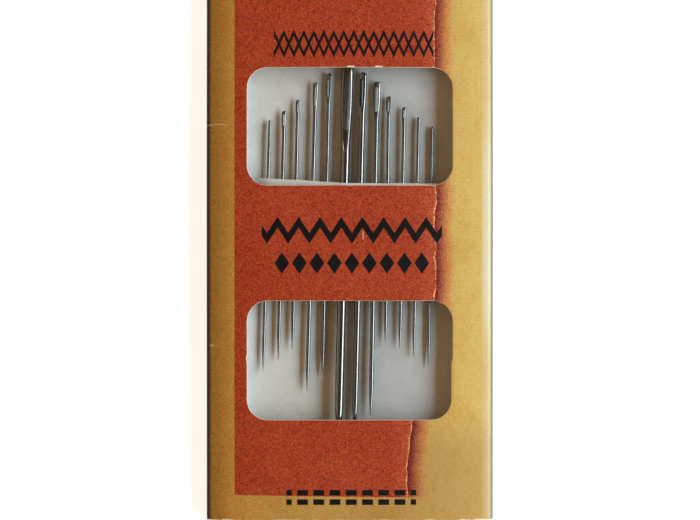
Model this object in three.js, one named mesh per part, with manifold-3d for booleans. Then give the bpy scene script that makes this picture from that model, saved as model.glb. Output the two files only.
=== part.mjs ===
// A window packet of twelve hand sewing needles, in millimetres.
// The packet lies on its back: +Z out of the printed front, +Y towards the needles' eyes, +X to the right.
// The origin is the middle of the back panel's outer face.

import * as THREE from "three";
import { mergeVertices } from "three/addons/utils/BufferGeometryUtils.js";
import Module from "manifold-3d";

const wasm = await Module();
wasm.setup();

// Sleeve: one card blank folded round to a flat tube, open at both ends
const sleeveWidth = 45;
const sleeveLength = 88;
const sleeveCard = 0.4;
const sleeveCrown = 1.4; // how far the front stands above its folds
const crownX = -2.5; // the front stands highest a little to the left
const crownPower = 3; // flat over the contents, then down to the folds
const sleeveFullness = 0.45; // extra height at the fullest section
const fullestY = 6;
const leftFoldRadius = 0.5;
const rightFoldRadius = 0.9;
const backFoldRadius = 0.6;
const flapFoldRadius = 0.5;
const flapWidth = 10;
const seamGlueThickness = 0.05;
const seamGlueInset = 1.2; // from the flap's edge and from its fold
const freeEdgeInset = 0.25; // the back panel's cut edge lies this far inside the left fold

// Windows in the front, above and below the bridge
const windowWidth = 33;
const upperWindowHeight = 18.9;
const lowerWindowHeight = 19.1;
const windowCornerRadius = 3.3;
const bridgeHeight = 18.5;
const bridgeY = 0.15;

// Insert card
const insertCard = 0.35;
const insertSideGap = 0.45;
const insertEndInset = 0.8;
const insertCornerRadius = 1.2;
const insertUnderGap = 0.05;
const contentGap = 0.4; // between the thickest needle's channel and the front at the open ends

// Two-ply strap across the needles
const strapPly = 0.12;
const strapTab = 3.2; // flat end beyond the outer channels
const strapShow = 0.4; // reaches this far above the bridge, into the upper window
const strapHide = 0.7; // stays this far inside the bridge's lower edge
const strapEdgeWander = 0.7; // the hand-trimmed upper edge wanders by this much
const strapEdgeShares = [
  [-1, 0.95],
  [-0.06, 0],
  [1, 0.45],
];
const backingTrim = 0.5; // the rear ply is this much shorter at each edge
const archRise = 0.3;
const archCentreX = 1.2;
const strapGlueThickness = 0.05;
const strapGlueInset = 0.4;
const bondGap = 0.04;
const bondLand = 0.24; // flat land where the two plies meet between channels
const needleGap = 0.08; // under each needle
const channelGap = 0.16; // beside and over each needle
const strapLean = 1.2; // degrees, clockwise

// Needles
const needlePitch = 2.4;
const pointTaper = 9;
const eyeTopShare = 0.75; // metal above the eye, as a share of the head's width
const eyeWidthShare = 0.52;
const pressedShare = 0.8; // the head's thickness, as a share of the shaft's diameter
const gutterShare = 0.42; // depth of the grooves by the eye, as a share of the head's half thickness
const gutterWidthShare = 0.85;
const gutterRunShare = 0.45; // how far the groove runs past the eye, as a share of the eye's length
const pointShares = [
  [0, 0],
  [0.02, 0.1],
  [0.12, 0.3],
  [0.35, 0.62],
  [0.65, 0.88],
  [1, 1],
];
const longestNeedle = 56.5;
const thickestNeedle = 1.1;
// From left to right. Shares of the thickest needle: diameter. Of the longest: length, and reach above the
// strap's middle. Of its own diameter: head. Of its head: eye. Of the pitch, off even spacing: place.
// turn and lean are in degrees.
const needleShares = [
  { diameter: 0.49, length: 0.72, reach: 0.349, head: 1.3, eye: 2.14, turn: 78, lean: 0.35, place: -0.11 },
  { diameter: 0.545, length: 0.715, reach: 0.377, head: 1.27, eye: 2.5, turn: 12, lean: 0.18, place: -0.13 },
  { diameter: 0.545, length: 0.715, reach: 0.409, head: 1.23, eye: 2.16, turn: 28, lean: 0.1, place: -0.22 },
  { diameter: 0.6, length: 0.885, reach: 0.46, head: 1.33, eye: 3.52, turn: 24, lean: 0.42, place: -0.11 },
  { diameter: 0.564, length: 0.867, reach: 0.487, head: 1.42, eye: 3.64, turn: 52, lean: 0.1, place: -0.16 },
  { diameter: 1, length: 1, reach: 0.52, head: 1.82, eye: 4.8, turn: 4, lean: -0.23, place: 0.12 },
  { diameter: 0.727, length: 0.966, reach: 0.492, head: 1.5, eye: 3.83, turn: 30, lean: 0.07, place: 0.13 },
  { diameter: 0.69, length: 0.954, reach: 0.466, head: 1.5, eye: 3.51, turn: 10, lean: -0.09, place: 0.11 },
  { diameter: 0.527, length: 0.713, reach: 0.425, head: 1.38, eye: 2.25, turn: 40, lean: -0.42, place: -0.03 },
  { diameter: 0.545, length: 0.692, reach: 0.395, head: 1.23, eye: 1.76, turn: 20, lean: -0.13, place: -0.03 },
  { diameter: 0.5, length: 0.687, reach: 0.367, head: 1.24, eye: 2.2, turn: 66, lean: 0.02, place: -0.07 },
  { diameter: 0.473, length: 0.687, reach: 0.34, head: 1.27, eye: 2.12, turn: 80, lean: -0.31, place: -0.11 },
];

// Facets
const foldSteps = 5;
const frontSteps = 12;
const lengthSteps = 16;
const cornerSteps = 6;
const roundSides = 12;
const overrun = 1;

// Worked out from the sizes above
const halfWidth = sleeveWidth / 2;
const halfLength = sleeveLength / 2;
const flapBottom = sleeveCard + seamGlueThickness;
const insertBottom = flapBottom + sleeveCard + insertUnderGap;
const insertTop = insertBottom + insertCard;
const strapBottom = bridgeY - bridgeHeight / 2 + strapHide;
const strapTop = bridgeY + bridgeHeight / 2 + strapShow;
const needles = needleShares.map((share) => {
  const diameter = share.diameter * thickestNeedle;
  const head = share.head * diameter;
  const length = share.length * longestNeedle;
  const reach = share.reach * longestNeedle;
  return { ...share, diameter, head, length, reach, eye: share.eye * head };
});
const middleCount = (needles.length - 1) / 2;
const outerPlace = middleCount * needlePitch;
const archHalf = outerPlace + needlePitch / 2;
const strapHalf = archHalf + strapTab;
const places = needles.map((needle, i) => (i - middleCount + needle.place) * needlePitch);
const stackTop =
  insertTop + strapGlueThickness + archRise + strapPly + needleGap + thickestNeedle + channelGap + strapPly;
const crownHeight = stackTop + contentGap + sleeveCard;
const foldHeight = crownHeight - sleeveCrown;

// Solids from closed geometry, and back
function solid(geometry) {
  const bare = geometry.clone();
  bare.deleteAttribute("normal");
  bare.deleteAttribute("uv");
  const merged = mergeVertices(bare, 1e-5);
  const mesh = new wasm.Mesh({
    numProp: 3,
    vertProperties: new Float32Array(merged.attributes.position.array),
    triVerts: new Uint32Array(merged.index.array),
  });
  return new wasm.Manifold(mesh);
}

function geometryOf(body) {
  const mesh = body.getMesh();
  const geometry = new THREE.BufferGeometry();
  geometry.setAttribute("position", new THREE.BufferAttribute(mesh.vertProperties, 3));
  geometry.setIndex(new THREE.BufferAttribute(mesh.triVerts, 1));
  geometry.computeVertexNormals();
  return geometry;
}

// Turns an extrusion so that its section stands in X and Z and it runs along Y, from low to high
function alongY(geometry, low, length) {
  geometry.rotateX(Math.PI / 2);
  geometry.translate(0, low + length, 0);
  return geometry;
}

function shapeOf(points) {
  return new THREE.Shape(points.map(([x, z]) => new THREE.Vector2(x, z)));
}

function roundedRectangle(width, height, radius) {
  const x = width / 2;
  const y = height / 2;
  const shape = new THREE.Shape();
  shape.moveTo(radius - x, -y);
  shape.lineTo(x - radius, -y);
  shape.absarc(x - radius, radius - y, radius, -Math.PI / 2, 0);
  shape.lineTo(x, y - radius);
  shape.absarc(x - radius, y - radius, radius, 0, Math.PI / 2);
  shape.lineTo(radius - x, y);
  shape.absarc(radius - x, y - radius, radius, Math.PI / 2, Math.PI);
  shape.lineTo(-x, radius - y);
  shape.absarc(radius - x, radius - y, radius, Math.PI, 1.5 * Math.PI);
  return shape;
}

function slotShape(width, height) {
  const radius = width / 2;
  const shape = new THREE.Shape();
  shape.absarc(0, height / 2 - radius, radius, 0, Math.PI);
  shape.absarc(0, radius - height / 2, radius, Math.PI, 2 * Math.PI);
  return shape;
}

// A path moved sideways by a distance, to the left of its direction, with mitred corners
function offsetPath(points, distance) {
  return points.map((point, i) => {
    const before = points[Math.max(i - 1, 0)];
    const after = points[Math.min(i + 1, points.length - 1)];
    const into = new THREE.Vector2(point[0] - before[0], point[1] - before[1]).normalize();
    const out = new THREE.Vector2(after[0] - point[0], after[1] - point[1]).normalize();
    const first = i === 0 ? out : into;
    const last = i === points.length - 1 ? into : out;
    const normal = new THREE.Vector2(-first.y - last.y, first.x + last.x).normalize();
    const spread = Math.sqrt((1 + first.dot(last)) / 2);
    return [point[0] + (normal.x * distance) / spread, point[1] + (normal.y * distance) / spread];
  });
}

function arc(cx, cz, radius, fromAngle, toAngle, steps) {
  const points = [];
  for (let i = 0; i <= steps; i += 1) {
    const angle = fromAngle + ((toAngle - fromAngle) * i) / steps;
    points.push([cx + radius * Math.cos(angle), cz + radius * Math.sin(angle)]);
  }
  return points;
}

function named(name, geometry, color, roughness, metalness) {
  const material = new THREE.MeshStandardMaterial({ color, roughness, metalness });
  const mesh = new THREE.Mesh(geometry, material);
  mesh.name = name;
  return mesh;
}

// The sleeve's outer outline at an open end: back, right side, front, left side, then the flap inside
function sleeveOutline() {
  const quarter = Math.PI / 2;
  const rightEnd = halfWidth - rightFoldRadius;
  const leftEnd = leftFoldRadius - halfWidth;
  const front = [];
  for (let i = 1; i < frontSteps; i += 1) {
    const x = THREE.MathUtils.lerp(rightEnd, leftEnd, i / frontSteps);
    const share = (x - crownX) / ((x > crownX ? rightEnd : leftEnd) - crownX);
    front.push([x, foldHeight + sleeveCrown * (1 - share ** crownPower)]);
  }
  return [
    [freeEdgeInset - halfWidth, 0],
    ...arc(halfWidth - backFoldRadius, backFoldRadius, backFoldRadius, -quarter, 0, foldSteps),
    ...arc(rightEnd, foldHeight - rightFoldRadius, rightFoldRadius, 0, quarter, foldSteps),
    ...front,
    ...arc(leftEnd, foldHeight - leftFoldRadius, leftFoldRadius, quarter, 2 * quarter, foldSteps),
    ...arc(flapFoldRadius - halfWidth, flapBottom + flapFoldRadius, flapFoldRadius, 2 * quarter, 3 * quarter, foldSteps),
    [flapWidth - halfWidth, flapBottom],
  ];
}

// How full the packet is at a place along it, from 0 at the open ends to 1 at the fullest section
function fullnessAt(y) {
  const run = y > fullestY ? halfLength - fullestY : halfLength + fullestY;
  return (1 + Math.cos((Math.PI * Math.abs(y - fullestY)) / run)) / 2;
}

function makeSleeve() {
  const outside = sleeveOutline();
  const inside = offsetPath(outside, sleeveCard);
  const tube = new THREE.ExtrudeGeometry(shapeOf([...outside, ...inside.reverse()]), {
    depth: sleeveLength,
    steps: lengthSteps,
    bevelEnabled: false,
  });
  alongY(tube, -halfLength, sleeveLength);
  // The contents push the front out, so the side walls stretch between their folds
  const wallLow = Math.max(flapBottom + flapFoldRadius, backFoldRadius);
  const wallHigh = foldHeight - rightFoldRadius;
  const spots = tube.attributes.position;
  for (let i = 0; i < spots.count; i += 1) {
    const share = THREE.MathUtils.clamp((spots.getZ(i) - wallLow) / (wallHigh - wallLow), 0, 1);
    spots.setZ(i, spots.getZ(i) + share * sleeveFullness * fullnessAt(spots.getY(i)));
  }
  let body = solid(tube);
  for (const [height, centre] of windowPlaces()) {
    const cutter = new THREE.ExtrudeGeometry(roundedRectangle(windowWidth, height, windowCornerRadius), {
      depth: crownHeight + sleeveFullness + overrun,
      curveSegments: cornerSteps,
      bevelEnabled: false,
    });
    cutter.translate(0, centre, insertTop);
    body = body.subtract(solid(cutter));
  }
  return named("sleeve", geometryOf(body), 0xb8532c, 0.62, 0);
}

function windowPlaces() {
  return [
    [upperWindowHeight, bridgeY + bridgeHeight / 2 + upperWindowHeight / 2],
    [lowerWindowHeight, bridgeY - bridgeHeight / 2 - lowerWindowHeight / 2],
  ];
}

// The seam's glue film lies between the back panel and the flap
function makeSeamGlue() {
  const width = flapWidth - flapFoldRadius - 2 * seamGlueInset;
  const length = sleeveLength - 2 * seamGlueInset;
  const film = new THREE.BoxGeometry(width, length, seamGlueThickness);
  const mesh = named("sleeve_seam_glue", film, 0xd9cfae, 0.5, 0);
  mesh.position.set(flapFoldRadius + seamGlueInset + width / 2 - halfWidth, 0, sleeveCard + seamGlueThickness / 2);
  return mesh;
}

function makeInsert() {
  const width = sleeveWidth - 2 * sleeveCard - 2 * insertSideGap;
  const length = sleeveLength - 2 * insertEndInset;
  const card = new THREE.ExtrudeGeometry(roundedRectangle(width, length, insertCornerRadius), {
    depth: insertCard,
    curveSegments: cornerSteps,
    bevelEnabled: false,
  });
  const mesh = named("insert_card", card, 0xb6b5b0, 0.7, 0);
  mesh.position.z = insertBottom;
  return mesh;
}

// Height of the rear ply's underside over the card: flat tabs, lifted between them
function archAt(x) {
  const from = Math.abs(x - archCentreX) / (archHalf - Math.abs(archCentreX));
  const share = Math.max(1 - from * from, 0);
  return strapGlueThickness + archRise * share * share;
}

function backingTopAt(x) {
  return archAt(x) + strapPly;
}

function needleHeight(i) {
  return backingTopAt(places[i]) + needleGap + needles[i].diameter / 2;
}

function backingOutline() {
  const steps = 4 * needles.length;
  const under = [];
  for (let i = 0; i <= steps; i += 1) {
    const x = strapHalf * ((2 * i) / steps - 1);
    under.push([x, archAt(x)]);
  }
  const over = under.map(([x, z]) => [x, z + strapPly]);
  return [...under, ...over.reverse()];
}

// The front ply from left to right: over each needle an arc, down tangent flanks to the lands between them
function strapOutline() {
  const under = [[-strapHalf, backingTopAt(-strapHalf) + bondGap]];
  places.forEach((x, i) => {
    const before = i === 0 ? x - needlePitch / 2 : (places[i - 1] + x) / 2;
    const after = i === places.length - 1 ? x + needlePitch / 2 : (places[i + 1] + x) / 2;
    const left = before + bondLand / 2;
    const right = after - bondLand / 2;
    const radius = needles[i].diameter / 2 + channelGap;
    const height = needleHeight(i);
    const rightTangent = tangentAngle(right - x, height - backingTopAt(right) - bondGap, radius);
    const leftTangent = Math.PI - tangentAngle(x - left, height - backingTopAt(left) - bondGap, radius);
    under.push([left, backingTopAt(left) + bondGap]);
    under.push(...arc(x, height, radius, leftTangent, rightTangent, foldSteps));
    under.push([right, backingTopAt(right) + bondGap]);
  });
  under.push([strapHalf, backingTopAt(strapHalf) + bondGap]);
  const over = offsetPath(under, strapPly);
  return [...under, ...over.reverse()];
}

// Where a line from a point beside and below a circle touches it, measured from the circle's centre
function tangentAngle(across, drop, radius) {
  return Math.acos(radius / Math.hypot(across, drop)) - Math.atan2(drop, across);
}

function makeStrap() {
  const high = strapTop + strapEdgeWander;
  const length = high - strapBottom;
  const ply = new THREE.ExtrudeGeometry(shapeOf(strapOutline()), { depth: length, bevelEnabled: false });
  alongY(ply, strapBottom, length);
  const trimLow = strapBottom - overrun;
  const trimHalf = strapHalf + overrun;
  const edge = strapEdgeShares.map(([across, up]) => [across * trimHalf, strapTop + up * strapEdgeWander]);
  const outline = shapeOf([[-trimHalf, trimLow], [trimHalf, trimLow], ...edge.reverse()]);
  const trim = new THREE.ExtrudeGeometry(outline, { depth: stackTop + overrun, bevelEnabled: false });
  const mesh = named("needle_strap", geometryOf(solid(ply).intersect(solid(trim))), 0xaaaca8, 0.7, 0);
  mesh.position.z = insertTop;
  return mesh;
}

function makeBacking() {
  const low = strapBottom + backingTrim;
  const length = strapTop - backingTrim - low;
  const ply = new THREE.ExtrudeGeometry(shapeOf(backingOutline()), { depth: length, bevelEnabled: false });
  const mesh = named("strap_backing", alongY(ply, low, length), 0x9c9b95, 0.75, 0);
  mesh.position.z = insertTop;
  return mesh;
}

function makeStrapGlue(name, side) {
  const width = strapTab - 2 * strapGlueInset;
  const length = strapTop - strapBottom - 2 * backingTrim - 2 * strapGlueInset;
  const film = new THREE.BoxGeometry(width, length, strapGlueThickness);
  const mesh = named(name, film, 0xd9cfae, 0.5, 0);
  const x = side * (archHalf + strapTab / 2);
  mesh.position.set(x, (strapTop + strapBottom) / 2, insertTop + strapGlueThickness / 2);
  return mesh;
}

// A needle along Y, its point down: a round shaft, and a head that is pressed wider and flatter round the eye
function makeNeedle(needle, i) {
  const { diameter, length, reach, eye, head, turn, lean } = needle;
  const radius = diameter / 2;
  const tip = reach - length;
  const dome = head / 2;
  const eyeTop = reach - head * eyeTopShare;
  const eyeBottom = eyeTop - eye;
  const neck = eyeBottom - eye * gutterRunShare;
  const profile = pointShares.map(([along, out]) => [out * radius, tip + along * pointTaper]);
  for (const share of [0, 0.25, 0.5, 0.75, 1]) {
    profile.push([radius, neck + share * (reach - dome - neck)]);
  }
  for (const angle of [30, 55, 75]) {
    const turnBy = THREE.MathUtils.degToRad(angle);
    profile.push([radius * Math.cos(turnBy), reach - dome + dome * Math.sin(turnBy)]);
  }
  profile.push([0, reach]);
  const blank = new THREE.LatheGeometry(
    profile.map(([out, y]) => new THREE.Vector2(out, y)),
    roundSides,
  );
  const spots = blank.attributes.position;
  for (let k = 0; k < spots.count; k += 1) {
    const share = THREE.MathUtils.smoothstep(spots.getY(k), neck, eyeBottom + eye / 2);
    spots.setX(k, spots.getX(k) * (1 + share * (head / diameter - 1)));
    spots.setZ(k, spots.getZ(k) * (1 - share * (1 - pressedShare)));
  }
  const halfThickness = radius * pressedShare;
  const eyeWidth = head * eyeWidthShare;
  const slot = new THREE.ExtrudeGeometry(slotShape(eyeWidth, eye), {
    depth: 2 * head,
    curveSegments: cornerSteps,
    bevelEnabled: false,
  });
  slot.translate(0, (eyeTop + eyeBottom) / 2, -head);
  let body = solid(blank).subtract(solid(slot));
  for (const side of [-1, 1]) {
    const groove = new THREE.SphereGeometry(1, roundSides, cornerSteps);
    groove.scale((eyeWidth * gutterWidthShare) / 2, eye / 2 + eye * gutterRunShare, halfThickness * gutterShare);
    groove.translate(0, (eyeTop + eyeBottom) / 2, side * halfThickness);
    body = body.subtract(solid(groove));
  }
  const mesh = named(`needle_${String(i + 1).padStart(2, "0")}`, geometryOf(body), 0xc9c9c6, 0.22, 0.95);
  mesh.rotation.order = "ZYX";
  mesh.rotation.set(0, THREE.MathUtils.degToRad(turn), THREE.MathUtils.degToRad(-lean));
  mesh.position.set(places[i], 0, insertTop + needleHeight(i));
  return mesh;
}

// Strap, glue and needles lean together on the card
const bundle = new THREE.Group();
bundle.rotation.z = THREE.MathUtils.degToRad(-strapLean);
bundle.add(makeStrap(), makeBacking(), makeStrapGlue("strap_glue_left", -1), makeStrapGlue("strap_glue_right", 1));
bundle.add(...needles.map(makeNeedle));

const packet = new THREE.Group();
packet.add(makeSleeve(), makeSeamGlue(), makeInsert(), bundle);

export default packet;
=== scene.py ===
import bmesh
import bpy
import math
from mathutils import Matrix, Vector, noise


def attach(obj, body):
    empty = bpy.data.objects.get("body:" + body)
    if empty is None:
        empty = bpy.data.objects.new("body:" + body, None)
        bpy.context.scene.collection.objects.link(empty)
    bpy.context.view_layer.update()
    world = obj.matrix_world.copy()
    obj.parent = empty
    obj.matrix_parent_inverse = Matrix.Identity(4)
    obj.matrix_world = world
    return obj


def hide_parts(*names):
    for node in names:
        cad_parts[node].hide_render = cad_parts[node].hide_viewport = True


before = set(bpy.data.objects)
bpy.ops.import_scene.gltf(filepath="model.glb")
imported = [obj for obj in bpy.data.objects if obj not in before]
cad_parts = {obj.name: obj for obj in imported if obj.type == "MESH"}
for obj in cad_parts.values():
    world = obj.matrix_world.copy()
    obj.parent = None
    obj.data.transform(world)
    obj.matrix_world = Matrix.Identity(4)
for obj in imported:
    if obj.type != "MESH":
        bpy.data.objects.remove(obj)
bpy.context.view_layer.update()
print("stage: frame loaded")

# Sizes in the dictionaries are in millimetres and degrees; meshes are scaled to metres at the end
mm = 0.001
quarter = math.pi / 2


# Small tools

def spread(stops, steps):
    # Places from stop to stop, each stretch cut into pieces no longer than its step
    places = [stops[0]]
    for low, high, step in zip(stops, stops[1:], steps):
        count = max(1, math.ceil((high - low) / step - 1e-6))
        places += [low + (high - low) * (i + 1) / count for i in range(count)]
    return places


def smoothStep(value, low, high):
    share = min(max((value - low) / (high - low), 0), 1)
    return share * share * (3 - 2 * share)


def arcPoints(cx, cz, radius, fromAngle, toAngle, steps):
    angles = [fromAngle + (toAngle - fromAngle) * i / steps for i in range(steps + 1)]
    return [(cx + radius * math.cos(a), cz + radius * math.sin(a)) for a in angles]


def gridSheet(columns, rows):
    # A flat grid from bmesh, with each vertex tagged by its column and row
    sheet = bmesh.new()
    bmesh.ops.create_grid(sheet, x_segments=columns - 1, y_segments=rows - 1, size=1)
    spots = {}
    for vert in sheet.verts:
        i = round((vert.co.x + 1) / 2 * (columns - 1))
        j = round((vert.co.y + 1) / 2 * (rows - 1))
        spots[vert] = (i, j)
    return sheet, spots


def makePiece(name, shape, materials, body, standsFor):
    mesh = bpy.data.meshes.new(name)
    shape.to_mesh(mesh)
    shape.free()
    mesh.transform(Matrix.Scale(mm, 4))
    piece = bpy.data.objects.new(name, mesh)
    bpy.context.scene.collection.objects.link(piece)
    for material in materials:
        mesh.materials.append(material)
    mesh.polygons.foreach_set("use_smooth", [True] * len(mesh.polygons))
    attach(piece, body)
    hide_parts(*standsFor)
    return piece


def addModifier(piece, kind, **settings):
    modifier = piece.modifiers.new(kind.title(), kind)
    for key, value in settings.items():
        setattr(modifier, key, value)
    return modifier


def addBevel(piece, width, angle, segments=2, material=-1):
    addModifier(
        piece, "BEVEL", width=width * mm, segments=segments, profile=0.5,
        limit_method="ANGLE", angle_limit=math.radians(angle), material=material,
    )


def applyModifiers(piece):
    graph = bpy.context.evaluated_depsgraph_get()
    graph.update()
    finished = bpy.data.meshes.new_from_object(piece.evaluated_get(graph))
    piece.modifiers.clear()
    piece.data = finished


# Node tools

def makeMaterial(name):
    material = bpy.data.materials.new(name)
    material.use_nodes = True
    material.node_tree.nodes.clear()
    return material, material.node_tree


def feed(tree, socket, value):
    if isinstance(value, bpy.types.NodeSocket):
        tree.links.new(value, socket)
    elif hasattr(value, "__len__") and len(value) == 3 and len(socket.default_value) == 4:
        socket.default_value = (*value, 1)
    else:
        socket.default_value = value


def put(tree, kind, settings=None, **sockets):
    node = tree.nodes.new(kind)
    for key, value in (settings or {}).items():
        setattr(node, key, value)
    for key, value in sockets.items():
        feed(tree, node.inputs[key.replace("_", " ")], value)
    return node


def calc(tree, operation, *values):
    node = tree.nodes.new("ShaderNodeMath")
    node.operation = operation
    for socket, value in zip(node.inputs, values):
        feed(tree, socket, value)
    return node.outputs[0]


def ramp(tree, value, low, high, start=0.0, end=1.0, smooth=True):
    node = tree.nodes.new("ShaderNodeMapRange")
    node.interpolation_type = "SMOOTHSTEP" if smooth else "LINEAR"
    for socket, given in zip(node.inputs, (value, low, high, start, end)):
        feed(tree, socket, given)
    return node.outputs[0]


def blendColour(tree, factor, first, second, mode="MIX"):
    node = tree.nodes.new("ShaderNodeMix")
    node.data_type = "RGBA"
    node.blend_type = mode
    feed(tree, node.inputs[0], factor)
    feed(tree, node.inputs[6], first)
    feed(tree, node.inputs[7], second)
    return node.outputs[2]


def cloud(tree, place, scale, detail=2.0, roughness=0.5, distortion=0.0):
    node = put(tree, "ShaderNodeTexNoise", Vector=place, Scale=scale, Detail=detail, Roughness=roughness)
    node.inputs["Distortion"].default_value = distortion
    return node.outputs[0]


def stretched(tree, place, scale, turn=(0, 0, 0)):
    node = put(tree, "ShaderNodeMapping", Vector=place, Scale=scale, Rotation=turn)
    return node.outputs[0]


def objectPlace(tree):
    # Object coordinates in millimetres
    node = tree.nodes.new("ShaderNodeTexCoord")
    return stretched(tree, node.outputs["Object"], (1000, 1000, 1000))


def finishMaterial(tree, colour, roughness, height, bump, depth, settings=None):
    shader = put(tree, "ShaderNodeBsdfPrincipled", Base_Color=colour, Roughness=roughness)
    for key, value in (settings or {}).items():
        shader.inputs[key].default_value = value
    lifted = put(tree, "ShaderNodeBump", Strength=bump, Distance=depth * mm, Height=height)
    tree.links.new(lifted.outputs[0], shader.inputs["Normal"])
    out = tree.nodes.new("ShaderNodeOutputMaterial")
    tree.links.new(shader.outputs[0], out.inputs["Surface"])


# Camera, lamp and floor

view = {"x": 0, "y": -2.56, "height": 303, "lens": 96, "sensor": 36, "nearest": 10}
cameraData = bpy.data.cameras.new("camera")
cameraData.lens = view["lens"]
cameraData.sensor_width = view["sensor"]
cameraData.clip_start = view["nearest"] * mm
camera = bpy.data.objects.new("camera", cameraData)
camera.location = Vector((view["x"], view["y"], view["height"])) * mm
bpy.context.scene.collection.objects.link(camera)
bpy.context.scene.camera = camera

# The room's angles are in radians from straight up, positive towards the lamp on the right
studio = {
    "distance": 600,
    "elevation": 31,
    "lampWide": 1000,
    "lampTall": 260,
    "power": 8.35,
    "lampColour": (0.74, 0.905, 1.0),
    "roomColour": (1.0, 0.60, 0.29),
    "roomShine": (0.50, 0.44, 0.37),
    "room": 0.86,
    "window": 0.9,
    "aboveLamp": 0.28,
    "windowAngles": (-1.3, -1.0),
    "darkStart": (-0.5, -0.35),
    "darkEnd": (1.0, 1.2),
    "floorColour": (0.86, 0.86, 0.85),
    "floorPale": (0.88, 0.88, 0.87),
    "floorDrop": 0.02,
    "floorGlow": 0.7,
    "floorSize": 6000,
}


def makeLamp():
    data = bpy.data.lights.new("softbox", "AREA")
    data.shape = "RECTANGLE"
    data.size = studio["lampWide"] * mm
    data.size_y = studio["lampTall"] * mm
    data.energy = studio["power"]
    data.color = studio["lampColour"]
    lamp = bpy.data.objects.new("softbox", data)
    rise = math.radians(studio["elevation"])
    lamp.location = Vector((math.cos(rise), 0, math.sin(rise))) * studio["distance"] * mm
    lamp.rotation_euler = lamp.location.to_track_quat("Z", "Y").to_euler()
    bpy.context.scene.collection.objects.link(lamp)


def makeRoom():
    world = bpy.data.worlds.new("room")
    world.use_nodes = True
    tree = world.node_tree
    tree.nodes.clear()
    direction = tree.nodes.new("ShaderNodeTexCoord")
    parts = put(tree, "ShaderNodeSeparateXYZ", Vector=direction.outputs["Generated"])
    # An even room, brighter low on the left and darker from overhead down to the lamp
    angle = calc(tree, "ARCTAN2", parts.outputs["X"], parts.outputs["Z"])
    bright = studio["room"] + studio["window"]
    strength = ramp(tree, angle, *studio["windowAngles"], bright, studio["room"])
    dark = ramp(tree, angle, *studio["darkStart"])
    dark = calc(tree, "MULTIPLY", dark, ramp(tree, angle, *studio["darkEnd"], 1, 0))
    strength = calc(tree, "MULTIPLY", strength, ramp(tree, dark, 0, 1, 1, studio["aboveLamp"], False))
    # Metal mirrors a greyer room than the one that fills the shadows, and the camera sees plain white
    path = tree.nodes.new("ShaderNodeLightPath")
    colour = blendColour(tree, path.outputs["Is Glossy Ray"], studio["roomColour"], studio["roomShine"])
    glow = put(tree, "ShaderNodeBackground", Color=colour, Strength=strength)
    white = put(tree, "ShaderNodeBackground", Color=(1, 1, 1), Strength=1.0)
    seen = path.outputs["Is Camera Ray"]
    choose = tree.nodes.new("ShaderNodeMixShader")
    tree.links.new(seen, choose.inputs[0])
    tree.links.new(glow.outputs[0], choose.inputs[1])
    tree.links.new(white.outputs[0], choose.inputs[2])
    out = tree.nodes.new("ShaderNodeOutputWorld")
    tree.links.new(choose.outputs[0], out.inputs["Surface"])
    bpy.context.scene.world = world


def makeFloor():
    material, tree = makeMaterial("paleFloor")
    place = objectPlace(tree)
    fibre = cloud(tree, place, 0.8, 4)
    colour = blendColour(tree, ramp(tree, fibre, 0.3, 0.7), studio["floorColour"], studio["floorPale"])
    paint = put(tree, "ShaderNodeBsdfDiffuse", Color=colour)
    glow = put(tree, "ShaderNodeEmission", Color=(1, 1, 1), Strength=studio["floorGlow"])
    both = tree.nodes.new("ShaderNodeAddShader")
    tree.links.new(paint.outputs[0], both.inputs[0])
    tree.links.new(glow.outputs[0], both.inputs[1])
    path = tree.nodes.new("ShaderNodeLightPath")
    seen = calc(tree, "MAXIMUM", path.outputs["Is Camera Ray"], path.outputs["Is Glossy Ray"])
    seen = calc(tree, "MAXIMUM", seen, path.outputs["Is Transmission Ray"])
    choose = tree.nodes.new("ShaderNodeMixShader")
    tree.links.new(seen, choose.inputs[0])
    tree.links.new(paint.outputs[0], choose.inputs[1])
    tree.links.new(both.outputs[0], choose.inputs[2])
    out = tree.nodes.new("ShaderNodeOutputMaterial")
    tree.links.new(choose.outputs[0], out.inputs["Surface"])
    shape = bmesh.new()
    bmesh.ops.create_grid(shape, x_segments=1, y_segments=1, size=studio["floorSize"] / 2 * mm)
    mesh = bpy.data.meshes.new("floor")
    shape.to_mesh(mesh)
    shape.free()
    mesh.transform(Matrix.Translation((0, 0, -studio["floorDrop"] * mm)))
    mesh.materials.append(material)
    floor = bpy.data.objects.new("floor", mesh)
    bpy.context.scene.collection.objects.link(floor)


makeLamp()
makeRoom()
makeFloor()
bpy.context.scene.view_settings.view_transform = "Standard"
print("stage: camera, lamp and floor")


# Printed card of the sleeve

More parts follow.
